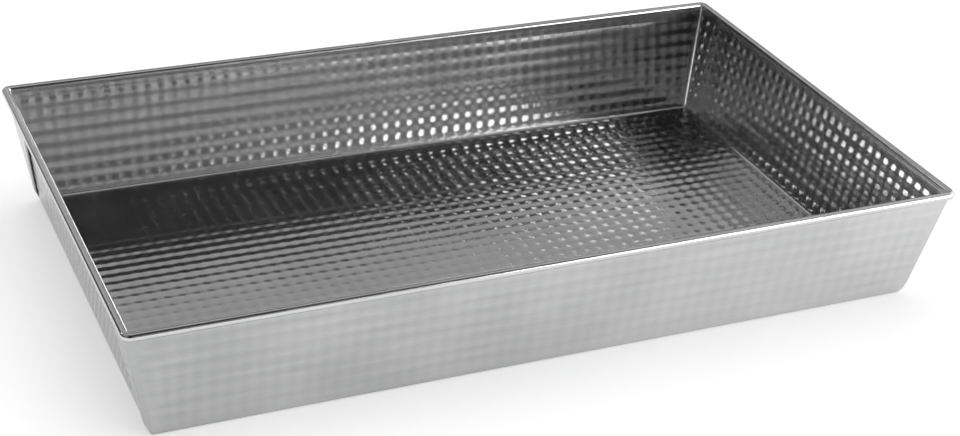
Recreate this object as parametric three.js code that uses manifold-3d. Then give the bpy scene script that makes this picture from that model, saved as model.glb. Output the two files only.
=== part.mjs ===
// Rectangular cake pan: one steel sheet folded up into a base and four leaning walls. The spare
// sheet at each corner is folded into a dog-ear flap that lies flat on the outside of the end
// wall, and the top edge of the walls is rolled over a steel wire.
// Millimetres, +Z up, +X along the pan. The origin is under the middle of the base.

import * as THREE from 'three';
import { mergeVertices } from 'three/addons/utils/BufferGeometryUtils.js';
import Module from 'manifold-3d';

// Driving dimensions: the folded sheet
const BASE_LENGTH = 323; // outside, between the end walls where they reach the table
const BASE_WIDTH = 191; // outside, between the side walls where they reach the table
const WIRE_HEIGHT = 49.6; // from the table to the middle of the rim wire
const WALL_LEAN = 10; // degrees that all four walls lean out from upright
const SHEET = 0.5; // thickness of the sheet
const BASE_BEND = 1.0; // inside radius where the base turns up into a wall
const CORNER_BEND = 0.8; // inside radius of the upright corner folds

// Driving dimensions: the rolled rim
const WIRE_DIAMETER = 2.0;
const WIRE_CLEARANCE = 0.25; // between the wire and the sheet rolled round it
const WIRE_BUTT_GAP = 0.6; // between the two ends of the wire
const CURL_CLEARANCE = 0.3; // between the free edge of the curl and the wall

// Driving dimensions: the corner flaps
const FLAP_CLEARANCE = 0.15; // between a flap and the end wall that it lies on
const FLAP_RIM_CLEARANCE = 0.3; // between the top of a flap and the underside of the curl
const FLAP_INSET = 0.02; // how far a flap's root lies inside the sheet that it grows from
const FLAP_TIP_SHEETS = 4; // thicknesses of sheet beside the corner bend in a flap's tip
const FLAP_TIP_PRESS = 0.125; // share of its height over the wall's middle that the tip keeps

// Fineness of the round parts
const CORNER_STEPS = 8;
const CURL_STEPS = 24;
const BEND_STEPS = 5;
const WIRE_SIDES = 16;
const LEAST_CORNER_RADIUS = 0.1;

// Values that follow from the driving dimensions
const lean = THREE.MathUtils.degToRad(WALL_LEAN);
const flare = Math.tan(lean); // how far a wall moves out for each millimetre of height
const levelSheet = SHEET / Math.cos(lean); // thickness of a wall, measured level
const wireRadius = WIRE_DIAMETER / 2;
const curlInside = wireRadius + WIRE_CLEARANCE;
const beadRadius = curlInside + SHEET;
// Outward offset of the wire from the line where the wall reaches the table
const wireOffset = WIRE_HEIGHT * flare + curlInside / Math.cos(lean);
const curlStartHeight = WIRE_HEIGHT + beadRadius * Math.sin(lean);

const wasm = await Module();
wasm.setup();

function toSolid(geometry) {
  const bare = geometry.clone();
  bare.deleteAttribute('normal');
  bare.deleteAttribute('uv');
  const merged = mergeVertices(bare);
  return new wasm.Manifold(new wasm.Mesh({
    numProp: 3,
    vertProperties: Float32Array.from(merged.attributes.position.array),
    triVerts: Uint32Array.from(merged.index.array),
  }));
}

function toGeometry(solid) {
  const mesh = solid.getMesh();
  const geometry = new THREE.BufferGeometry();
  geometry.setAttribute('position', new THREE.BufferAttribute(mesh.vertProperties, 3));
  geometry.setIndex(new THREE.BufferAttribute(mesh.triVerts, 1));
  geometry.computeVertexNormals();
  return geometry;
}

// Points of an arc about a centre, from one angle to another, both ends included.
function arc(centreX, centreY, radius, from, to, steps) {
  const points = [];
  for (let step = 0; step <= steps; step++) {
    const angle = from + (to - from) * step / steps;
    points.push(new THREE.Vector2(
      centreX + radius * Math.cos(angle),
      centreY + radius * Math.sin(angle),
    ));
  }
  return points;
}

// Skins a list of closed rings that have the same number of points, each ring to the next.
function skin(rings) {
  const count = rings[0].length;
  const triangles = [];
  for (let ring = 0; ring < rings.length - 1; ring++) {
    const here = ring * count;
    const there = here + count;
    for (let point = 0; point < count; point++) {
      const next = (point + 1) % count;
      triangles.push(here + point, here + next, there + next);
      triangles.push(here + point, there + next, there + point);
    }
  }
  return triangles;
}

// A fan of triangles from one middle point to a ring whose points start at the index first.
function fan(middle, first, count, turned) {
  const triangles = [];
  for (let point = 0; point < count; point++) {
    const here = first + point;
    const next = first + (point + 1) % count;
    triangles.push(middle, turned ? next : here, turned ? here : next);
  }
  return triangles;
}

function indexedGeometry(points, triangles) {
  const geometry = new THREE.BufferGeometry();
  geometry.setFromPoints(points);
  geometry.setIndex(triangles);
  geometry.computeVertexNormals();
  return geometry;
}

// The four corners in order round the pan, each with the angle at which its bend begins.
const corners = [
  { alongX: 1, alongY: 1, from: 0 },
  { alongX: -1, alongY: 1, from: Math.PI / 2 },
  { alongX: -1, alongY: -1, from: Math.PI },
  { alongX: 1, alongY: -1, from: 3 * Math.PI / 2 },
];

// Where a point of the wall's profile lies on a corner bend. The profile gives its outward
// offset and its height, and the bend turns about one upright axis at each height.
function cornerPoint(corner, angle, { x: offset, y: height }) {
  const wallHeight = Math.min(height, curlStartHeight);
  const axisOffset = wallHeight * flare - levelSheet - CORNER_BEND;
  const radius = Math.max(offset - axisOffset, LEAST_CORNER_RADIUS);
  return new THREE.Vector3(
    corner.alongX * (BASE_LENGTH / 2 + offset - radius) + radius * Math.cos(angle),
    corner.alongY * (BASE_WIDTH / 2 + offset - radius) + radius * Math.sin(angle),
    height,
  );
}

// One ring round the pan for one point of the wall's profile.
function ringAround(profilePoint) {
  return corners.flatMap((corner) => {
    const ring = [];
    for (let step = 0; step <= CORNER_STEPS; step++) {
      const angle = corner.from + (Math.PI / 2) * step / CORNER_STEPS;
      ring.push(cornerPoint(corner, angle, profilePoint));
    }
    return ring;
  });
}

// Section of the sheet from the edge of the flat base, up the outside of the wall, round the
// inside and back over the outside of the curl, and down the inside of the wall to the floor.
function wallProfile() {
  const bendOutside = BASE_BEND + SHEET;
  const bendOffset = bendOutside * (flare - 1 / Math.cos(lean));
  const down = -Math.PI / 2;
  const curlStart = Math.PI - lean;
  const curlReach = Math.acos((curlInside - CURL_CLEARANCE) / beadRadius);
  const curlEnd = curlStart - (2 * Math.PI - curlReach);
  return [
    ...arc(bendOffset, bendOutside, bendOutside, down, -lean, BEND_STEPS),
    ...arc(wireOffset, WIRE_HEIGHT, curlInside, curlStart, curlEnd, CURL_STEPS),
    ...arc(wireOffset, WIRE_HEIGHT, beadRadius, curlEnd, curlStart, CURL_STEPS),
    ...arc(bendOffset, bendOutside, BASE_BEND, -lean, down, BEND_STEPS),
  ];
}

// The base, the four walls and the curl: the profile carried round all four corners.
function trayGeometry() {
  const rings = wallProfile().map(ringAround);
  const count = rings[0].length;
  const points = rings.flat();
  const underside = points.length;
  const floor = underside + 1;
  points.push(new THREE.Vector3(0, 0, 0), new THREE.Vector3(0, 0, SHEET));
  const triangles = [
    ...skin(rings),
    ...fan(underside, 0, count, true),
    ...fan(floor, (rings.length - 1) * count, count, false),
  ];
  return indexedGeometry(points, triangles);
}

// Level section of a flap. Across runs from the corner's outer edge along the end wall, and out
// runs away from the end wall's outer face. The root follows the middle of the sheet's corner
// bend, and the doubled sheet ends in a round crease at the given reach.
function flapSection(reach) {
  const cornerOutside = CORNER_BEND + levelSheet;
  const back = FLAP_CLEARANCE / Math.cos(lean);
  const front = back + 2 * levelSheet;
  const wrap = levelSheet + back;
  return [
    new THREE.Vector2(FLAP_INSET, -cornerOutside),
    ...arc(cornerOutside, -cornerOutside, cornerOutside - levelSheet / 2,
      Math.PI, Math.PI / 2, BEND_STEPS),
    new THREE.Vector2(cornerOutside, back),
    ...arc(reach - levelSheet, back + levelSheet, levelSheet, -Math.PI / 2, Math.PI / 2, BEND_STEPS),
    ...arc(FLAP_INSET + wrap, front - wrap, wrap, Math.PI / 2, Math.PI, BEND_STEPS),
  ];
}

// The flap at one corner. A square corner of sheet between two leaning walls has this much to
// spare, and folding it double puts the crease at a fixed lean from the upright.
function flapGeometry({ alongX, alongY }) {
  const wallSpread = Math.atan(Math.sin(lean));
  const creaseLean = Math.PI / 4 - 2 * wallSpread;
  const reachPerHeight = flare + Math.tan(creaseLean) / Math.cos(lean);
  const tipReach = CORNER_BEND + FLAP_TIP_SHEETS * levelSheet;
  const tipHeight = BASE_BEND + SHEET;
  const fullHeight = tipHeight + tipReach / reachPerHeight;
  const topHeight = WIRE_HEIGHT - beadRadius - FLAP_RIM_CLEARANCE;
  // The tip is pressed flat, so there the whole section lies within the wall's thickness.
  const wallMiddle = -levelSheet / 2;
  const flatten = (point) => {
    const pressed = wallMiddle + (point.y - wallMiddle) * FLAP_TIP_PRESS;
    return new THREE.Vector2(point.x, Math.min(point.y, pressed));
  };
  const place = (height) => (point) => new THREE.Vector3(
    alongX * (BASE_LENGTH / 2 + height * flare + point.y),
    alongY * (BASE_WIDTH / 2 + height * flare - point.x),
    height,
  );
  const tip = flapSection(tipReach).map(flatten);
  const full = flapSection(fullHeight * reachPerHeight);
  const top = flapSection(topHeight * reachPerHeight);
  const rings = [tip.map(place(tipHeight)), full.map(place(fullHeight)), top.map(place(topHeight))];
  const topStart = (rings.length - 1) * top.length;
  const tipEnd = THREE.ShapeUtils.triangulateShape(tip, []).flat().reverse();
  const topEnd = THREE.ShapeUtils.triangulateShape(top, []).flat().map((index) => topStart + index);
  const triangles = [...skin(rings), ...tipEnd, ...topEnd];
  const facesOut = alongX * alongY > 0;
  return indexedGeometry(rings.flat(), facesOut ? triangles : triangles.reverse());
}

// The sheet: the tray with its four flaps.
function panBodyGeometry() {
  let sheet = toSolid(trayGeometry());
  for (const corner of corners) {
    sheet = sheet.add(toSolid(flapGeometry(corner)));
  }
  return toGeometry(sheet);
}

// The wire: one length bent to the rim's rectangle, its ends butted in the middle of the back.
function rimWireGeometry() {
  const section = arc(wireOffset, WIRE_HEIGHT, wireRadius, 0, -2 * Math.PI, WIRE_SIDES).slice(1);
  const buttEnd = (side) => section.map(({ x: offset, y: height }) => new THREE.Vector3(
    side * WIRE_BUTT_GAP / 2,
    BASE_WIDTH / 2 + offset,
    height,
  ));
  const sections = [buttEnd(-1)];
  for (const corner of [...corners.slice(1), corners[0]]) {
    for (let step = 0; step <= CORNER_STEPS; step++) {
      const angle = corner.from + (Math.PI / 2) * step / CORNER_STEPS;
      sections.push(section.map((point) => cornerPoint(corner, angle, point)));
    }
  }
  sections.push(buttEnd(1));
  const points = sections.flat();
  const firstMiddle = points.length;
  points.push(new THREE.Vector3(-WIRE_BUTT_GAP / 2, BASE_WIDTH / 2 + wireOffset, WIRE_HEIGHT));
  points.push(new THREE.Vector3(WIRE_BUTT_GAP / 2, BASE_WIDTH / 2 + wireOffset, WIRE_HEIGHT));
  const lastRing = (sections.length - 1) * WIRE_SIDES;
  const triangles = [
    ...skin(sections),
    ...fan(firstMiddle, 0, WIRE_SIDES, true),
    ...fan(firstMiddle + 1, lastRing, WIRE_SIDES, false),
  ];
  return indexedGeometry(points, triangles);
}

const tinnedSheet = new THREE.MeshStandardMaterial({
  name: 'tinned_sheet', color: 0xb4b6b8, roughness: 0.24, metalness: 1,
});
const drawnWire = new THREE.MeshStandardMaterial({
  name: 'drawn_wire', color: 0x8f9193, roughness: 0.45, metalness: 1,
});

const pan = new THREE.Group();
pan.name = 'cake_pan';

const panBody = new THREE.Mesh(panBodyGeometry(), tinnedSheet);
panBody.name = 'pan_body';
pan.add(panBody);

const rimWire = new THREE.Mesh(rimWireGeometry(), drawnWire);
rimWire.name = 'rim_wire';
pan.add(rimWire);

export default pan;
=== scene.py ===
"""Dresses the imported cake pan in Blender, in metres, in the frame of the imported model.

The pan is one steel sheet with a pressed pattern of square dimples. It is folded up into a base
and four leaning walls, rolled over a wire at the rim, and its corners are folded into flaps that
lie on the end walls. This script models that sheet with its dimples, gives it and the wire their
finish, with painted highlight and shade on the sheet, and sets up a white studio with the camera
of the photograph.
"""

import math

import bpy
import numpy as np
from mathutils import Matrix, Vector


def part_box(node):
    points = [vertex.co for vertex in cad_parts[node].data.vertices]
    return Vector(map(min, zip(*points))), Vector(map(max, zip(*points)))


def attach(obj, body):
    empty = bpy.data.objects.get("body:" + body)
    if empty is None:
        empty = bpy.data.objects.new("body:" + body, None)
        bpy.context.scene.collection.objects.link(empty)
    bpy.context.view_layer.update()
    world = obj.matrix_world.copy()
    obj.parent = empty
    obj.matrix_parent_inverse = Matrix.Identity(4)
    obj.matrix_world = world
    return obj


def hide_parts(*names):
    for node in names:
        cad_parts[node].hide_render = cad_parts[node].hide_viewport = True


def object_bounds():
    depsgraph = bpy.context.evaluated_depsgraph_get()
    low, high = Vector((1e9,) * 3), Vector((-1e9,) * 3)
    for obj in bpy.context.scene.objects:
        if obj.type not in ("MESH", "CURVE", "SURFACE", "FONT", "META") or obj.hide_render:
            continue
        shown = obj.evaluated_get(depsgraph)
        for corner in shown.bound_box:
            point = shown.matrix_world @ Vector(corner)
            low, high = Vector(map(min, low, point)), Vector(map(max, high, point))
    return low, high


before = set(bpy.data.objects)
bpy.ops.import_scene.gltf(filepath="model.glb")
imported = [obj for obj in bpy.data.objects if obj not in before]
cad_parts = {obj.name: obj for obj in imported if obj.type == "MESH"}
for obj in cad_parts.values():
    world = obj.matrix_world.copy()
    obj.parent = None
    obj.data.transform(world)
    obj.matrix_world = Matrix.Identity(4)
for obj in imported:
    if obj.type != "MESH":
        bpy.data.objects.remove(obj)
CAD_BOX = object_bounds()

# Sizes of the folded sheet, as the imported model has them
SHEET = 0.0005
LEAN = math.radians(10)
BASE_BEND = 0.0010  # inside radius where the base turns up into a wall
CORNER_BEND = 0.0008  # inside radius of the upright corner folds
BEAD_RADIUS = 0.00175  # outside radius of the rolled rim
CURL_CLEARANCE = 0.0003  # between the free edge of the curl and the wall
RIM_SWELL = 0.0002  # how far the rolled rim bulges inwards over the wall
RIM_RISE = 0.0020  # height of wall over which that bulge grows
LEAST_CORNER_RADIUS = 0.0001
FLAP_CLEARANCE = 0.00015  # between a flap and the end wall that it lies on
FLAP_RIM_CLEARANCE = 0.0003  # between the top of a flap and the underside of the curl
FLAP_INSET = 0.00002  # how far a flap's root lies inside the sheet that it grows from
FLAP_FOOT_SHEETS = 4  # how many sheets wide a flap's foot is, past the corner fold
FLAP_FOOT_PRESS = 1 / 8  # share of a flap's thickness that is left at its foot
FLAP_SHARP_ANGLE = math.radians(50)  # edges of a flap that turn by more than this are sharp

# The pressed pattern
PITCH = 0.006  # from one dimple to the next, both ways
STEEPEST = 0.085  # slope half way between a crown and a hollow
FOLD_FADE = 0.0030  # the pattern is pressed flat this far from a fold
RIM_FADE = 0.0045  # and this far below the rolled rim
FLAP_PRESS = 0.6  # share of the pattern's height that is left on a flap
BOW = 0.00016  # height of the slow unevenness of a whole wall or of the base
BOW_LENGTHS = (0.083, 0.137)  # its wave lengths
BOW_FADE = 0.030  # it dies out this far from a fold
FLOOR_PHASE = 0.4  # where its waves start on the base

# Fineness of the meshes
KNOTS = 4  # rows and columns to one pitch of the pattern
SLOPE_STEP = PITCH / 600  # the distance over which slopes are measured
BEND_STEPS = 4
RIM_ROWS = 4
CURL_STEPS = 16
CORNER_STEPS = 6
END_ZONE = 0.008  # the last stretch of a wall, whose columns spread as the wall widens
END_COLUMNS = 10
FLAP_ROWS = 36
FLAP_COLUMNS = 26
FLAP_ARC_STEPS = 6
MAP_MARGIN = 0.01  # empty border of the unfolded map
EDGE_FACE_CORNERS = 5  # corners of the faces along the sheet's free edge

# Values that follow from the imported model
FLARE = math.tan(LEAN)
LEVEL_SHEET = SHEET / math.cos(LEAN)
CURL_INSIDE = BEAD_RADIUS - SHEET
PAN_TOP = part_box("pan_body")[1]
WIRE_HEIGHT = PAN_TOP[2] - BEAD_RADIUS
WIRE_OFFSET = WIRE_HEIGHT * FLARE + CURL_INSIDE / math.cos(LEAN)
HALF_LENGTH = PAN_TOP[0] - WIRE_OFFSET - BEAD_RADIUS
HALF_WIDTH = PAN_TOP[1] - WIRE_OFFSET - BEAD_RADIUS


def smooth_ramp(value):
    """0 below 0, 1 above 1, with an easy rise between."""
    value = np.clip(value, 0.0, 1.0)
    return value * value * (3.0 - 2.0 * value)


WAVE_HEIGHT = STEEPEST * PITCH / (2 * math.pi)


def wave(place):
    """Height of one row of the pattern over the plain sheet: even waves with a crown at 0."""
    return WAVE_HEIGHT * np.cos(2 * math.pi / PITCH * place)


def bow(along, up, phase):
    """A slow unevenness of rolled sheet, between -1 and 1."""
    first, second = (2 * math.pi / length for length in BOW_LENGTHS)
    return 0.5 * (np.sin(first * along + phase) * np.cos(second * up + 2 * phase)
                  + np.sin(second * along + 3 * phase) * np.cos(first * up - phase))


def pattern_knots(start, end):
    """The places between start and end that carry the pattern, on both sides of each crown."""
    step = PITCH / KNOTS
    first = math.floor(start / step)
    last = math.ceil(end / step)
    knots = (np.arange(first, last + 1) + 0.5) * step
    return knots[(knots > start) & (knots < end)]


# Section of the sheet

def sheet_section():
    """Rows across the sheet from the edge of the flat base to the free edge of the curl.

    Each row holds the middle of the sheet as an outward offset and a height, the direction to the
    sheet's inside face, the distance along the flat sheet, and the offset of the axis that the
    corner folds turn about. The section's wall runs between the two returned distances.
    """
    rows = []
    bend_outside = BASE_BEND + SHEET
    bend_middle = np.array([bend_outside * (FLARE - 1 / math.cos(LEAN)), bend_outside])
    bend_radius = BASE_BEND + SHEET / 2
    for angle in np.linspace(-math.pi / 2, -LEAN, BEND_STEPS + 1):
        direction = np.array([math.cos(angle), math.sin(angle)])
        run = bend_radius * (angle + math.pi / 2)
        rows.append((bend_middle + bend_radius * direction, -direction, run))

    curl_radius = BEAD_RADIUS - SHEET / 2
    curl_start = math.pi - LEAN
    curl_reach = math.acos((CURL_INSIDE - CURL_CLEARANCE) / BEAD_RADIUS)
    curl_sweep = 2 * math.pi - curl_reach
    inward = np.array([math.cos(curl_start), math.sin(curl_start)])
    upward = np.array([inward[1], -inward[0]])
    wire = np.array([WIRE_OFFSET, WIRE_HEIGHT]) + RIM_SWELL * inward
    wall_foot, _, wall_start = rows[-1]
    wall_top = wire + curl_radius * inward
    wall_length = (wall_top - wall_foot) @ upward
    wall_end = wall_start + wall_length
    floor_edge = HALF_WIDTH + bend_middle[0]
    knots = pattern_knots(floor_edge + wall_start, floor_edge + wall_end - RIM_RISE) - floor_edge
    rim_rows = wall_end - RIM_RISE * np.arange(RIM_ROWS, 0, -1) / RIM_ROWS
    wall_runs = [*knots, *rim_rows]
    if len(wall_runs) % 2 == 0:
        wall_runs.insert(0, (wall_start + knots[0]) / 2)
    for run in wall_runs:
        grown = max(1 - (wall_end - run) / RIM_RISE, 0)
        swell = RIM_SWELL * smooth_ramp(grown)
        slope = RIM_SWELL / RIM_RISE * 6 * grown * (1 - grown)
        place = wall_foot + upward * (run - wall_start) + inward * swell
        rows.append((place, (inward - slope * upward) / math.hypot(1, slope), run))

    for step in range(CURL_STEPS + 1):
        turned = curl_sweep * step / CURL_STEPS
        direction = np.array([math.cos(curl_start - turned), math.sin(curl_start - turned)])
        rows.append((wire + curl_radius * direction, direction, wall_end + curl_radius * turned))

    middle = np.array([row[0] for row in rows])
    inside = np.array([row[1] for row in rows])
    run = np.array([row[2] for row in rows])
    axis = np.minimum(middle[:, 1], wall_top[1]) * FLARE - LEVEL_SHEET - CORNER_BEND
    axis = np.minimum(axis, middle[:, 0] - LEAST_CORNER_RADIUS)
    return middle, inside, run, axis, wall_start, wall_end


MIDDLE, INSIDE, RUN, AXIS, WALL_START, WALL_END = sheet_section()
ROWS = len(RUN)
CURL_ROW = ROWS - CURL_STEPS - 1  # the row where the wall turns into the curl


# The pressed pattern on one flat panel of the sheet: for places on the panel, the height of the
# sheet, the height of the pattern alone, and how much of the pattern the folds have left

def floor_relief(x, y):
    """The base, whose lowest hollows lie level with the plain sheet."""
    edge = np.minimum(HALF_LENGTH + MIDDLE[0, 0] - np.abs(x), HALF_WIDTH + MIDDLE[0, 0] - np.abs(y))
    left = smooth_ramp(edge / FOLD_FADE)
    pattern = (wave(x) + wave(y)) * left
    unevenness = BOW * (1 + bow(x, y, FLOOR_PHASE)) / 2 * smooth_ramp(edge / BOW_FADE)
    return pattern + 2 * WAVE_HEIGHT * left + unevenness, pattern, left


def wall_relief(half_span, half_depth, phase):
    """A wall, as a function of the place along it and up it."""
    def relief(along, run):
        up = run - WALL_START
        side = half_span + np.maximum(up, 0) * math.sin(LEAN) - np.abs(along)
        left = smooth_ramp(np.minimum(up, side) / FOLD_FADE) * smooth_ramp((WALL_END - run) / RIM_FADE)
        pattern = (wave(along) + wave(half_depth + run)) * left
        rise = np.sin(math.pi * np.clip(up / (WALL_END - WALL_START), 0, 1))
        unevenness = BOW * rise * bow(along, up, phase) * smooth_ramp(side / BOW_FADE)
        return pattern + unevenness, pattern, left
    return relief


def slopes(relief, first, second):
    """The slopes of a relief's height in both directions."""
    step = SLOPE_STEP
    first_slope = (relief(first + step, second)[0] - relief(first - step, second)[0]) / (2 * step)
    second_slope = (relief(first, second + step)[0] - relief(first, second - step)[0]) / (2 * step)
    return first_slope, second_slope


# The sheet: its base as a grid, and its walls and curl as rows of columns round the grid

def panel_columns(half_span):
    """Places along a panel at its foot, and how far each moves as the panel widens upwards."""
    knots = np.concatenate([[0.0], pattern_knots(0, half_span - END_ZONE)])
    share = np.arange(1, END_COLUMNS + 1) / END_COLUMNS
    ends = knots[-1] + share * (half_span - knots[-1])
    half = np.concatenate([knots, ends])
    spread = np.concatenate([np.zeros(len(knots)), share])
    return np.concatenate([-half[:0:-1], half]), np.concatenate([-spread[:0:-1], spread])


SPAN_X = HALF_LENGTH + AXIS[0]
SPAN_Y = HALF_WIDTH + AXIS[0]
COLUMNS_X, SPREAD_X = panel_columns(SPAN_X)
COLUMNS_Y, SPREAD_Y = panel_columns(SPAN_Y)
GROWTH = AXIS - AXIS[0]

# The four walls in order round the pan, each followed by the corner at its end. A wall has the
# direction it faces, its columns, and its half length and half depth on the flat sheet.
WALLS = (
    {"faces": -math.pi / 2, "columns": COLUMNS_X, "spread": SPREAD_X,
     "span": SPAN_X, "depth": SPAN_Y, "phase": 1.1},
    {"faces": 0.0, "columns": COLUMNS_Y, "spread": SPREAD_Y,
     "span": SPAN_Y, "depth": SPAN_X, "phase": 2.3},
    {"faces": math.pi / 2, "columns": COLUMNS_X, "spread": SPREAD_X,
     "span": SPAN_X, "depth": SPAN_Y, "phase": 3.9},
    {"faces": math.pi, "columns": COLUMNS_Y, "spread": SPREAD_Y,
     "span": SPAN_Y, "depth": SPAN_X, "phase": 5.2},
)


# Each face below is given on the sheet's inside for side 1 and on its outside for side -1. It has
# points, normals, the place of each point on the unfolded sheet, and three marks for the finish: how
# far a point is raised by the pattern, from -1 to 1, how much it has been worked by a fold or by
# the rim, from 0 to 1, and 1 where it lies on the sheet's outside. The finish paints highlight and
# shade from the first mark and shade from the last.

def finish_marks(side, pattern, left):
    """The marks of a panel's points, from the height of the pattern and what is left of it."""
    raised = side * pattern / (2 * WAVE_HEIGHT)
    return np.stack([raised, 1 - left, np.full_like(left, side < 0)], axis=-1)


def unfolded(wall, place):
    """Where points of a wall, in rows, lie on the unfolded sheet."""
    out = np.array([math.cos(wall["faces"]), math.sin(wall["faces"])])
    along = np.array([-out[1], out[0]])
    reach = wall["depth"] - AXIS[0] + MIDDLE[0, 0] + RUN
    return reach[:, None, None] * out + place[:, :, None] * along


def floor_face(side):
    """The base, as columns in x by columns in y."""
    x, y = np.meshgrid(COLUMNS_X, COLUMNS_Y, indexing="ij")
    height, pattern, left = floor_relief(x, y)
    slope_x, slope_y = slopes(floor_relief, x, y)
    level = MIDDLE[0, 1] + side * SHEET / 2
    points = np.stack([x, y, level + height], axis=-1)
    normals = np.stack([-slope_x, -slope_y, np.ones_like(x)], axis=-1)
    marks = finish_marks(side, pattern, left)
    return points, side * normals, points[:, :, :2], marks


def wall_face(wall, side):
    """One wall with its curl, as rows by columns."""
    out = np.array([math.cos(wall["faces"]), math.sin(wall["faces"]), 0.0])
    along = np.array([-out[1], out[0], 0.0])
    up = np.array([0.0, 0.0, 1.0])
    place = wall["columns"][None, :] + GROWTH[:, None] * wall["spread"][None, :]
    run = np.broadcast_to(RUN[:, None], place.shape)
    relief = wall_relief(wall["span"], wall["depth"], wall["phase"])
    height, pattern, left = relief(place, run)
    slope_along, slope_up = slopes(relief, place, run)
    inside = INSIDE[:, :1, None] * out + INSIDE[:, 1:, None] * up
    climb = INSIDE[:, 1:, None] * out - INSIDE[:, :1, None] * up
    offset = wall["depth"] - AXIS[0] + MIDDLE[:, :1, None]
    middle = offset * out + MIDDLE[:, 1:, None] * up + place[:, :, None] * along
    points = middle + inside * (side * SHEET / 2 + height)[:, :, None]
    normals = inside - along * slope_along[:, :, None] - climb * slope_up[:, :, None]
    marks = finish_marks(side, pattern, left)
    return points, side * normals, unfolded(wall, place), marks


def corner_face(wall, side):
    """The corner fold at the end of a wall, without its two edges."""
    angles = wall["faces"] + np.linspace(0, math.pi / 2, CORNER_STEPS + 1)[1:-1]
    out = np.stack([np.cos(angles), np.sin(angles), np.zeros_like(angles)], axis=-1)
    up = np.array([0.0, 0.0, 1.0])
    middle_angle = wall["faces"] + math.pi / 4
    foot = np.array([math.copysign(HALF_LENGTH, math.cos(middle_angle)),
                     math.copysign(HALF_WIDTH, math.sin(middle_angle)), 0.0])
    outward = np.array([math.copysign(1.0, foot[0]), math.copysign(1.0, foot[1]), 0.0])
    face = MIDDLE + side * SHEET / 2 * INSIDE
    radius = np.maximum(face[:, 0] - AXIS, LEAST_CORNER_RADIUS)
    points = (foot + AXIS[:, None, None] * outward + radius[:, None, None] * out[None]
              + face[:, 1, None, None] * up)
    # Below the curl the fold's axis leans out both ways, which tips the fold's face down.
    tip = np.where(np.arange(ROWS)[:, None] < CURL_ROW, np.abs(out).sum(axis=1)[None, :], 1.0)
    normals = INSIDE[:, :1, None] * out[None] + (INSIDE[:, 1:] * tip)[:, :, None] * up
    plain = np.zeros(points.shape[:2])
    marks = finish_marks(side, plain, plain)
    following = WALLS[(WALLS.index(wall) + 1) % len(WALLS)]
    start = unfolded(wall, (wall["columns"][-1] + GROWTH)[:, None])
    end = unfolded(following, (following["columns"][0] - GROWTH)[:, None])
    share = ((angles - wall["faces"]) / (math.pi / 2))[None, :, None]
    return points, side * normals, start + (end - start) * share, marks


def ring_face(side):
    """All walls and corners, as rows by columns round the pan."""
    parts = [part for wall in WALLS for part in (wall_face(wall, side), corner_face(wall, side))]
    return [np.concatenate(values, axis=1) for values in zip(*parts)]


def grid_edge(grid, corner_columns):
    """For each column round the pan, the point of the base's grid that it meets."""
    sides = []
    for side in (grid[:, 0], grid[-1, :], grid[::-1, -1], grid[0, ::-1]):
        sides.append(side)
        sides.append(np.full(corner_columns, side[-1]))
    return np.concatenate(sides)


def face_quads(grid, ring, corner_columns):
    """Quads of one face of the sheet, from the numbers of its points."""
    base = np.stack([grid[:-1, :-1], grid[1:, :-1], grid[1:, 1:], grid[:-1, 1:]], axis=-1)
    rows = np.concatenate([grid_edge(grid, corner_columns)[None, :], ring])
    beside = np.roll(rows, -1, axis=1)
    walls = np.stack([rows[:-1], rows[1:], beside[1:], beside[:-1]], axis=-1)
    return np.concatenate([base.reshape(-1, 4), walls.reshape(-1, 4)])


def mesh_object(name, points, faces, normals=None):
    """A smooth mesh object, with a face's repeated points dropped."""
    shapes = [list(dict.fromkeys(face)) for face in faces]
    mesh = bpy.data.meshes.new(name)
    mesh.from_pydata(points.tolist(), [], shapes)
    mesh.shade_smooth()
    if normals is not None:
        lengths = np.linalg.norm(normals, axis=1, keepdims=True)
        mesh.normals_split_custom_set_from_vertices((normals / lengths).tolist())
    piece = bpy.data.objects.new(name, mesh)
    bpy.context.collection.objects.link(piece)
    return piece


def mark_points(piece, places, marks):
    """Stores the unfolded place of each point of a piece, and its marks."""
    for name, values in zip(("raised", "worked", "outside"), marks.T):
        attribute = piece.data.attributes.new(name, "FLOAT", "POINT")
        attribute.data.foreach_set("value", values.astype(np.float32))
    attribute = piece.data.attributes.new("unfolded", "FLOAT_VECTOR", "POINT")
    flat = np.column_stack([places, np.zeros(len(places))]).astype(np.float32)
    attribute.data.foreach_set("vector", flat.ravel())


def map_unfolded(piece, places, inside_count):
    """A map of the sheet's two faces side by side, each of them unfolded."""
    size = np.ptp(places, axis=0)
    spread = MAP_MARGIN + (places - places.min(axis=0)) / (2 * size.max()) * (1 - 4 * MAP_MARGIN)
    spread[inside_count:, 1] += 0.5
    corners = np.empty(len(piece.data.loops), dtype=np.int32)
    piece.data.loops.foreach_get("vertex_index", corners)
    values = spread[corners]
    # The faces along the free edge join the sheet's two faces, so each takes one place on the map.
    for face in piece.data.polygons:
        if face.loop_total == EDGE_FACE_CORNERS:
            values[face.loop_start:face.loop_start + face.loop_total] = values[face.loop_start]
    layer = piece.data.uv_layers.new(name="OFBake")
    layer.uv.foreach_set("vector", values.astype(np.float32).ravel())


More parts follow.
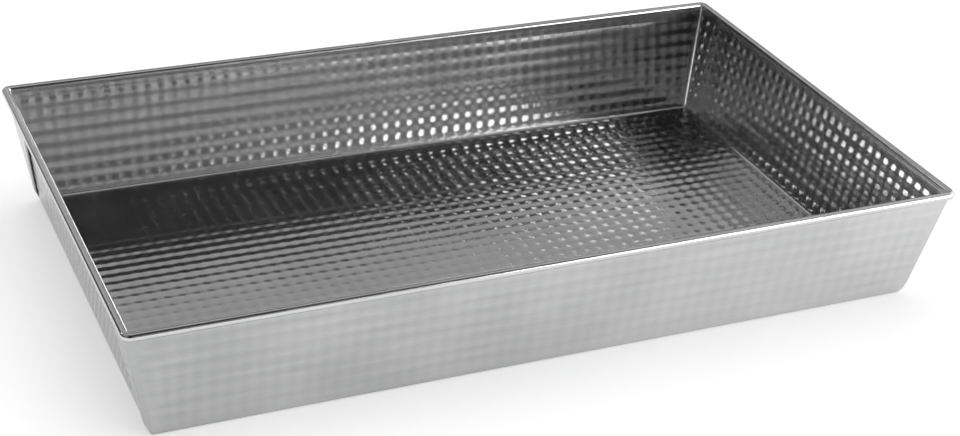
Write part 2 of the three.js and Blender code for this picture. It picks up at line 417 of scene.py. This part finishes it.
def make_pan_sheet():
    """The base, the walls and the curl as one closed sheet.

    The outside, which shows less of the pattern, has every other row and column of the inside.
    """
    values = []
    faces = []
    edges = []
    first = 0
    for side, step in ((1, 1), (-1, 2)):
        floor = [value[::step, ::step] for value in floor_face(side)]
        ring = [value[::step, ::step] for value in ring_face(side)]
        grid_shape = floor[0].shape[:2]
        ring_shape = ring[0].shape[:2]
        grid = first + np.arange(grid_shape[0] * grid_shape[1]).reshape(grid_shape)
        first += grid.size
        numbers = first + np.arange(ring_shape[0] * ring_shape[1]).reshape(ring_shape)
        first += numbers.size
        quads = face_quads(grid, numbers, (CORNER_STEPS - 1) // step)
        faces += quads[:, ::side].tolist()
        edges.append(numbers[-1])
        values.append([np.concatenate([a.reshape(-1, a.shape[-1]), b.reshape(-1, b.shape[-1])])
                       for a, b in zip(floor, ring)])
    inner, outer = edges
    for count, here in enumerate(outer):
        beside = outer[(count + 1) % len(outer)]
        inner_here, inner_middle, inner_beside = (inner[(2 * count + n) % len(inner)] for n in range(3))
        faces.append([inner_here, here, beside, inner_beside, inner_middle])
    points, normals, places, marks = (np.concatenate(parts) for parts in zip(*values))
    piece = mesh_object("pan_sheet", points, faces, normals)
    mark_points(piece, places, marks)
    map_unfolded(piece, places, len(values[0][0]))
    return piece


pan_sheet = make_pan_sheet()
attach(pan_sheet, "root")
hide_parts("pan_body")


# The corner flaps

def arc(middle, radius, start, end):
    """Points of an arc in a level section, both ends included."""
    angles = np.linspace(start, end, FLAP_ARC_STEPS + 1)
    return [(middle[0] + radius * math.cos(a), middle[1] + radius * math.sin(a)) for a in angles]


def flap_section(reach):
    """Level section of a flap, and which of its points lie on the open outer face.

    The first value runs along the end wall from the corner's outer edge, and the second runs out
    from the wall. The root follows the middle of the corner fold, and the doubled sheet ends in a
    round crease at the given reach.
    """
    corner_outside = CORNER_BEND + LEVEL_SHEET
    back = FLAP_CLEARANCE / math.cos(LEAN)
    front = back + 2 * LEVEL_SHEET
    wrap = LEVEL_SHEET + back
    root_middle = (corner_outside, -corner_outside)
    crease_middle = (reach - LEVEL_SHEET, back + LEVEL_SHEET)
    wrap_middle = (FLAP_INSET + wrap, front - wrap)
    face_places = np.linspace(crease_middle[0], wrap_middle[0], FLAP_COLUMNS + 1)[1:-1]
    hidden = [(FLAP_INSET, -corner_outside)]
    hidden += arc(root_middle, corner_outside - LEVEL_SHEET / 2, math.pi, math.pi / 2)
    hidden += [(corner_outside, back)]
    hidden += arc(crease_middle, LEVEL_SHEET, -math.pi / 2, math.pi / 2)
    face = [(place, front) for place in face_places]
    turn = arc(wrap_middle, wrap, math.pi / 2, math.pi)
    section = np.array(hidden + face + turn)
    open_face = np.zeros(len(section), dtype=bool)
    open_face[len(hidden):len(hidden) + len(face)] = True
    return section, open_face


WALL_SPREAD = math.atan(math.sin(LEAN))  # how far a corner edge leans within its wall
CREASE_LEAN = math.pi / 4 - 2 * WALL_SPREAD
REACH_PER_HEIGHT = FLARE + math.tan(CREASE_LEAN) / math.cos(LEAN)


def flap_relief(across, height, reach):
    """The pattern's height on a flap, whose sheet is turned by the fold, and what is left of it."""
    level = across - height * FLARE
    climb = height / math.cos(LEAN)
    from_corner = np.hypot(level, climb)
    from_edge = np.arctan2(level, climb) + WALL_SPREAD
    turned = math.pi / 2 - WALL_SPREAD - from_edge
    pattern = wave(SPAN_X + from_corner * np.cos(turned)) + wave(SPAN_Y + from_corner * np.sin(turned))
    edge = np.minimum(across, reach - across)
    top = WIRE_HEIGHT - BEAD_RADIUS - FLAP_RIM_CLEARANCE - height
    left = smooth_ramp(edge / FOLD_FADE) * smooth_ramp(top / RIM_FADE)
    return FLAP_PRESS * pattern * left, left


def flap_ring(height, reach, press):
    """One level ring of a flap: along the end wall, out from it, height, and the three marks."""
    section, open_face = flap_section(reach)
    across = section[:, 0]
    out = section[:, 1]
    pattern, left = flap_relief(across, height, reach)
    dent = np.where(open_face, pattern, 0.0)
    pressed = np.where(out > -LEVEL_SHEET / 2, (out + LEVEL_SHEET / 2) * press - LEVEL_SHEET / 2, out)
    raised = -dent / (2 * WAVE_HEIGHT)
    worked = np.where(open_face, 1 - left, 1.0)
    level = np.full(len(section), height)
    outside = np.ones(len(section))
    return np.stack([across, pressed - dent * press, level, raised, worked, outside], axis=-1)


def make_corner_flaps():
    """The four flaps, each a closed fold of doubled sheet from the base up to the rim."""
    foot_reach = CORNER_BEND + FLAP_FOOT_SHEETS * LEVEL_SHEET
    foot_height = BASE_BEND + SHEET
    full_height = foot_height + foot_reach / REACH_PER_HEIGHT
    top_height = WIRE_HEIGHT - BEAD_RADIUS - FLAP_RIM_CLEARANCE
    rings = [flap_ring(foot_height, foot_reach, FLAP_FOOT_PRESS)]
    for height in np.linspace(full_height, top_height, FLAP_ROWS):
        rings.append(flap_ring(height, height * REACH_PER_HEIGHT, 1.0))
    count = len(rings[0])
    numbers = np.arange(len(rings) * count).reshape(len(rings), count)
    beside = np.roll(numbers, -1, axis=1)
    skin = np.stack([numbers[:-1], beside[:-1], beside[1:], numbers[1:]], axis=-1).reshape(-1, 4)
    ring = np.concatenate(rings)

    points = []
    faces = []
    for side_x, side_y in ((1, 1), (-1, 1), (-1, -1), (1, -1)):
        across, out, height = ring[:, :3].T
        x = side_x * (HALF_LENGTH + height * FLARE + out)
        y = side_y * (HALF_WIDTH + height * FLARE - across)
        first = sum(len(part) for part in points)
        turned = side_x * side_y < 0
        shapes = [*skin.tolist(), numbers[0][::-1].tolist(), numbers[-1].tolist()]
        faces += [[first + n for n in (reversed(shape) if turned else shape)] for shape in shapes]
        points.append(np.stack([x, y, height], axis=-1))
    piece = mesh_object("corner_flaps", np.concatenate(points), faces)
    piece.data.set_sharp_from_angle(angle=FLAP_SHARP_ANGLE)
    mark_points(piece, np.tile(ring[:, [0, 2]], (4, 1)), np.tile(ring[:, 3:], (4, 1)))
    return piece


corner_flaps = make_corner_flaps()
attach(corner_flaps, "root")
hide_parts("pan_body")


# Finishes

WHITE = (1, 1, 1, 1)
SPECULAR_TINT = (0.85, 0.85, 0.85, 1)
NOISE_RANGE = (0.25, 0.75)  # most of a noise lies between these
# Noises: how each is stretched along the three axes, its scale and its detail
CLOUDS = ((1, 1, 1), 24, 4)
STREAKS = ((0.06, 1, 1), 420, 3)
GRAIN = ((0.15, 1, 1), 3500, 2)
SMEARS = ((1, 1, 1), 60, 3)
SCRATCHES = ((1, 1, 1), 900, 3)
# The sheet's colour for a lightness of 0 and of 1, and what makes up its lightness
SHEET_COLOURS = ((0.40, 0.402, 0.408), (0.80, 0.80, 0.795))
CLOUD_LIGHTNESS = (0.50, 0.70)
STREAK_LIGHTNESS = (-0.06, 0.06)
GRAIN_LIGHTNESS = (-0.04, 0.04)
RAISED_PAINTED_SHADE_AND_HIGHLIGHT = (-0.10, 0.10)  # painted shade in the hollows and painted highlight on the crowns
OUTSIDE_PAINTED_SHADE = (-0.50, -0.12)  # painted shade of the outside, at the left end and at the right end
SHEET_ROUGHNESS = (0.12, 0.17)
WORKED_ROUGHNESS = 0.04  # added where a fold or the rim has worked the sheet
SHEET_BUMP = (0.05, 0.0002)  # strength, and distance in metres
WIRE_COLOURS = ((0.26, 0.26, 0.265), (0.56, 0.56, 0.56))
WIRE_ROUGHNESS = (0.30, 0.48)
WIRE_BUMP = (0.1, 0.0001)


def new_material(name):
    """A material with a metallic surface shader, and its nodes, links and shader."""
    material = bpy.data.materials.new(name)
    material.use_nodes = True
    nodes = material.node_tree.nodes
    shader = nodes["Principled BSDF"]
    shader.inputs["Metallic"].default_value = 1.0
    shader.inputs["Specular Tint"].default_value = SPECULAR_TINT
    return material, nodes, material.node_tree.links, shader


def attribute(nodes, name):
    """An attribute of the mesh."""
    node = nodes.new("ShaderNodeAttribute")
    node.attribute_name = name
    return node


def noise(nodes, links, place, stretch, scale, detail):
    """A noise on a place that is stretched along each axis."""
    mapping = nodes.new("ShaderNodeMapping")
    mapping.inputs["Scale"].default_value = stretch
    links.new(place, mapping.inputs["Vector"])
    texture = nodes.new("ShaderNodeTexNoise")
    texture.inputs["Scale"].default_value = scale
    texture.inputs["Detail"].default_value = detail
    links.new(mapping.outputs["Vector"], texture.inputs["Vector"])
    return texture.outputs["Fac"]


def spread_value(nodes, links, factor, start, end, low, high):
    """A factor between start and end spread over the values from low to high."""
    spread = nodes.new("ShaderNodeMapRange")
    spread.inputs["From Min"].default_value = start
    spread.inputs["From Max"].default_value = end
    spread.inputs["To Min"].default_value = low
    spread.inputs["To Max"].default_value = high
    links.new(factor, spread.inputs["Value"])
    return spread.outputs["Result"]


def spread_noise(nodes, links, factor, low, high):
    """A noise spread over the values from low to high."""
    return spread_value(nodes, links, factor, *NOISE_RANGE, low, high)


def combine(nodes, links, operation, first, second):
    """Two values combined into one."""
    node = nodes.new("ShaderNodeMath")
    node.operation = operation
    links.new(first, node.inputs[0])
    links.new(second, node.inputs[1])
    return node.outputs["Value"]


def total(nodes, links, values):
    """The sum of several values."""
    result = values[0]
    for value in values[1:]:
        result = combine(nodes, links, "ADD", result, value)
    return result


def tone(nodes, links, factor, dark, light):
    """A colour ramp on a factor."""
    ramp = nodes.new("ShaderNodeValToRGB")
    ramp.color_ramp.elements[0].color = (*dark, 1)
    ramp.color_ramp.elements[1].color = (*light, 1)
    links.new(factor, ramp.inputs["Fac"])
    return ramp.outputs["Color"]


def bump(nodes, links, height, strength, distance, shader):
    """Fine relief on a shader."""
    node = nodes.new("ShaderNodeBump")
    node.inputs["Strength"].default_value = strength
    node.inputs["Distance"].default_value = distance
    links.new(height, node.inputs["Height"])
    links.new(node.outputs["Normal"], shader.inputs["Normal"])


def tinned_sheet_with_painted_shade():
    """Bright rolled sheet: cloudy tone, rolling lines, painted highlight on the crowns and painted shade
    in the hollows, and duller folds.

    Its outside has painted shade: it is coloured darker, most of all towards the left end.
    """
    material, nodes, links, shader = new_material("tinned_sheet_with_painted_shade")
    place = attribute(nodes, "unfolded").outputs["Vector"]
    raised = attribute(nodes, "raised").outputs["Fac"]
    worked = attribute(nodes, "worked").outputs["Fac"]
    outside = attribute(nodes, "outside").outputs["Fac"]
    axes = nodes.new("ShaderNodeSeparateXYZ")
    links.new(nodes.new("ShaderNodeTexCoord").outputs["Object"], axes.inputs["Vector"])
    clouds = noise(nodes, links, place, *CLOUDS)
    streaks = noise(nodes, links, place, *STREAKS)
    grain = noise(nodes, links, place, *GRAIN)
    smears = noise(nodes, links, place, *SMEARS)
    left_end, right_end = (corner[0] for corner in CAD_BOX)
    # Painted shade: the sheet's outside is coloured darker, most of all at the left end, away from the
    # light on the right.
    painted_shade = spread_value(nodes, links, axes.outputs["X"], left_end, right_end, *OUTSIDE_PAINTED_SHADE)
    lightness = total(nodes, links, (
        spread_noise(nodes, links, clouds, *CLOUD_LIGHTNESS),
        spread_noise(nodes, links, streaks, *STREAK_LIGHTNESS),
        spread_noise(nodes, links, grain, *GRAIN_LIGHTNESS),
        # Painted shade in the pattern's hollows and painted highlight on its crowns, from how far each
        # point is raised.
        spread_value(nodes, links, raised, -1, 1, *RAISED_PAINTED_SHADE_AND_HIGHLIGHT),
        combine(nodes, links, "MULTIPLY", outside, painted_shade),
    ))
    links.new(tone(nodes, links, lightness, *SHEET_COLOURS), shader.inputs["Base Color"])
    roughness = total(nodes, links, (
        spread_noise(nodes, links, smears, *SHEET_ROUGHNESS),
        spread_value(nodes, links, worked, 0, 1, 0.0, WORKED_ROUGHNESS),
    ))
    links.new(roughness, shader.inputs["Roughness"])
    bump(nodes, links, total(nodes, links, (streaks, grain)), *SHEET_BUMP, shader)
    return material


def drawn_wire_finish():
    """Drawn steel wire with fine scratches."""
    material, nodes, links, shader = new_material("drawn_wire_finish")
    place = nodes.new("ShaderNodeTexCoord").outputs["Object"]
    scratches = noise(nodes, links, place, *SCRATCHES)
    links.new(tone(nodes, links, scratches, *WIRE_COLOURS), shader.inputs["Base Color"])
    links.new(spread_noise(nodes, links, scratches, *WIRE_ROUGHNESS), shader.inputs["Roughness"])
    bump(nodes, links, scratches, *WIRE_BUMP, shader)
    return material


SHEET_WITH_PAINTED_SHADE = tinned_sheet_with_painted_shade()
for piece in (pan_sheet, corner_flaps):
    piece.data.materials.append(SHEET_WITH_PAINTED_SHADE)
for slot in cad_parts["rim_wire"].material_slots:
    slot.material = drawn_wire_finish()

# The camera of the photograph

IMAGE_WIDTH = 960
FOCAL_PIXELS = 1933  # focal length in pixels of the image
SENSOR_WIDTH = 36
NEAREST_SHOWN = 0.01
AZIMUTH = math.radians(-24.72)
ELEVATION = math.radians(28.47)
ROLL = math.radians(3.28)
DISTANCE = 0.804
TARGET = Vector((-0.0017, -0.0216, 0.0246))

camera_data = bpy.data.cameras.new("camera")
camera_data.sensor_width = SENSOR_WIDTH
camera_data.lens = FOCAL_PIXELS / IMAGE_WIDTH * SENSOR_WIDTH
camera_data.clip_start = NEAREST_SHOWN
camera = bpy.data.objects.new("camera", camera_data)
bpy.context.collection.objects.link(camera)
back = Vector((math.sin(AZIMUTH) * math.cos(ELEVATION),
               -math.cos(AZIMUTH) * math.cos(ELEVATION),
               math.sin(ELEVATION)))
level_right = Vector((math.cos(AZIMUTH), math.sin(AZIMUTH), 0))
level_up = back.cross(level_right)
right = level_right * math.cos(ROLL) + level_up * math.sin(ROLL)
up = back.cross(right)
camera.matrix_world = Matrix.Translation(TARGET + back * DISTANCE) @ Matrix((
    (right.x, up.x, back.x, 0),
    (right.y, up.y, back.y, 0),
    (right.z, up.z, back.z, 0),
    (0, 0, 0, 1),
))
bpy.context.scene.camera = camera

# The studio

FLOOR_SIZE = 20.0
PAPER_COLOUR = (0.92, 0.92, 0.92, 1)
PAPER_ROUGHNESS = 0.9
PAPER_LIFT = 0.22  # how much brighter than its own light the paper shows
WORLD_STRENGTH = 1.0
STUDIO_RADIUS = 10.0
PATCH_STEP = math.radians(3)
# Pale cards and dark flags that only show in reflections, in front of a dark dome that shows between
# them: azimuths from the front towards the right, elevations, and how bright the card is
DOME_RADIUS = 11.0
DOME = ((-180, 180), (0, 90), 0.07)
CARDS = {
    "front_flag": ((-154, 45), (27, 70), 0.018),
    "left_flag": ((-154, 11), (0, 27), 0.018),
    "front_low_card": ((11, 25), (0, 8), 0.48),
    "front_card": ((11, 36), (8, 27), 0.30),
    "top_card": ((-180, 180), (70, 90), 0.6),
    "right_top_card": ((45, 124), (45, 70), 0.55),
    "back_left_card": ((186, 206), (0, 56), 0.54),
    "back_card": ((124, 186), (17, 56), 0.41),
    "back_low_card": ((124, 186), (0, 17), 0.13),
}
# Bright panels in front of the cards, seen in the same way. A panel hides the ones before it.
SOFTBOX_RADIUS = 9.0
SOFTBOX_STEP = 0.1
SOFTBOXES = {
    "left_top_softbox": ((-154, -64), (45, 70), 0.4),
    "left_side_softbox": ((-112, -64), (26, 45), 0.4),
    "right_softbox": ((53, 131), (0, 45), 1.35),
    "front_low_softbox": ((25, 72), (0, 6), 1.1),
    "front_softbox": ((25, 72), (6, 22), 8.9),
    "front_top_softbox": ((35, 65), (21, 33), 8.9),
    "front_left_softbox": ((-59, -50), (8, 15), 2.0),
    "left_softbox": ((-50, -42), (40, 46), 3.4),
    "far_left_softbox": ((-143, -124), (28, 36), 4.1),
    "back_softbox": ((158, 176), (17, 20), 2.8),
}


def glowing(name, brightness):
    """A material that gives off an even light."""
    material = bpy.data.materials.new(name)
    material.use_nodes = True
    nodes = material.node_tree.nodes
    nodes.clear()
    emission = nodes.new("ShaderNodeEmission")
    emission.inputs["Strength"].default_value = brightness
    output = nodes.new("ShaderNodeOutputMaterial")
    material.node_tree.links.new(emission.outputs["Emission"], output.inputs["Surface"])
    return material


def studio_patch(name, radius, azimuths, elevations, brightness):
    """A glowing piece of a sphere round the pan, between two azimuths and two elevations in degrees."""
    a_low, a_high = (math.radians(a) for a in azimuths)
    e_low, e_high = (math.radians(e) for e in elevations)
    columns = np.linspace(a_low, a_high, math.ceil((a_high - a_low) / PATCH_STEP) + 1)
    rows = np.linspace(e_low, e_high, math.ceil((e_high - e_low) / PATCH_STEP) + 1)
    azimuth, elevation = np.meshgrid(columns, rows)
    points = radius * np.stack([np.sin(azimuth) * np.cos(elevation),
                                -np.cos(azimuth) * np.cos(elevation),
                                np.sin(elevation)], axis=-1)
    numbers = np.arange(azimuth.size).reshape(azimuth.shape)
    faces = np.stack([numbers[:-1, :-1], numbers[1:, :-1], numbers[1:, 1:], numbers[:-1, 1:]], axis=-1)
    patch = mesh_object(name, points.reshape(-1, 3), faces.reshape(-1, 4).tolist())
    patch.data.materials.append(glowing(name, brightness))
    patch.visible_camera = False
    patch.visible_diffuse = False
    patch.visible_shadow = False


def white_paper():
    """White paper that shows a little brighter than its own light, so that it is white in the picture."""
    material = bpy.data.materials.new("white_paper")
    material.use_nodes = True
    nodes = material.node_tree.nodes
    links = material.node_tree.links
    shader = nodes["Principled BSDF"]
    shader.inputs["Base Color"].default_value = PAPER_COLOUR
    shader.inputs["Roughness"].default_value = PAPER_ROUGHNESS
    shader.inputs["Specular IOR Level"].default_value = 0.0
    path = nodes.new("ShaderNodeLightPath")
    shown = path.outputs["Is Camera Ray"]
    for kind in ("Is Glossy Ray", "Is Transmission Ray"):
        shown = combine(nodes, links, "MAXIMUM", shown, path.outputs[kind])
    lift = spread_value(nodes, links, shown, 0, 1, 0.0, PAPER_LIFT)
    links.new(lift, shader.inputs["Emission Strength"])
    shader.inputs["Emission Color"].default_value = WHITE
    return material


patches = [("dome", DOME_RADIUS, DOME)]
patches += [(name, STUDIO_RADIUS, card) for name, card in CARDS.items()]
patches += [(name, SOFTBOX_RADIUS - SOFTBOX_STEP * count, softbox)
            for count, (name, softbox) in enumerate(SOFTBOXES.items())]
for name, radius, patch in patches:
    studio_patch(name, radius, *patch)

floor_mesh = bpy.data.meshes.new("floor")
reach = FLOOR_SIZE / 2
floor_mesh.from_pydata([(-reach, -reach, 0), (reach, -reach, 0), (reach, reach, 0), (-reach, reach, 0)],
                       [], [(0, 1, 2, 3)])
floor = bpy.data.objects.new("floor", floor_mesh)
bpy.context.collection.objects.link(floor)
floor.data.materials.append(white_paper())

world = bpy.data.worlds.new("studio")
world.use_nodes = True
background = world.node_tree.nodes["Background"]
background.inputs["Color"].default_value = WHITE
background.inputs["Strength"].default_value = WORLD_STRENGTH
bpy.context.scene.world = world

bpy.context.scene.view_settings.view_transform = "Standard"
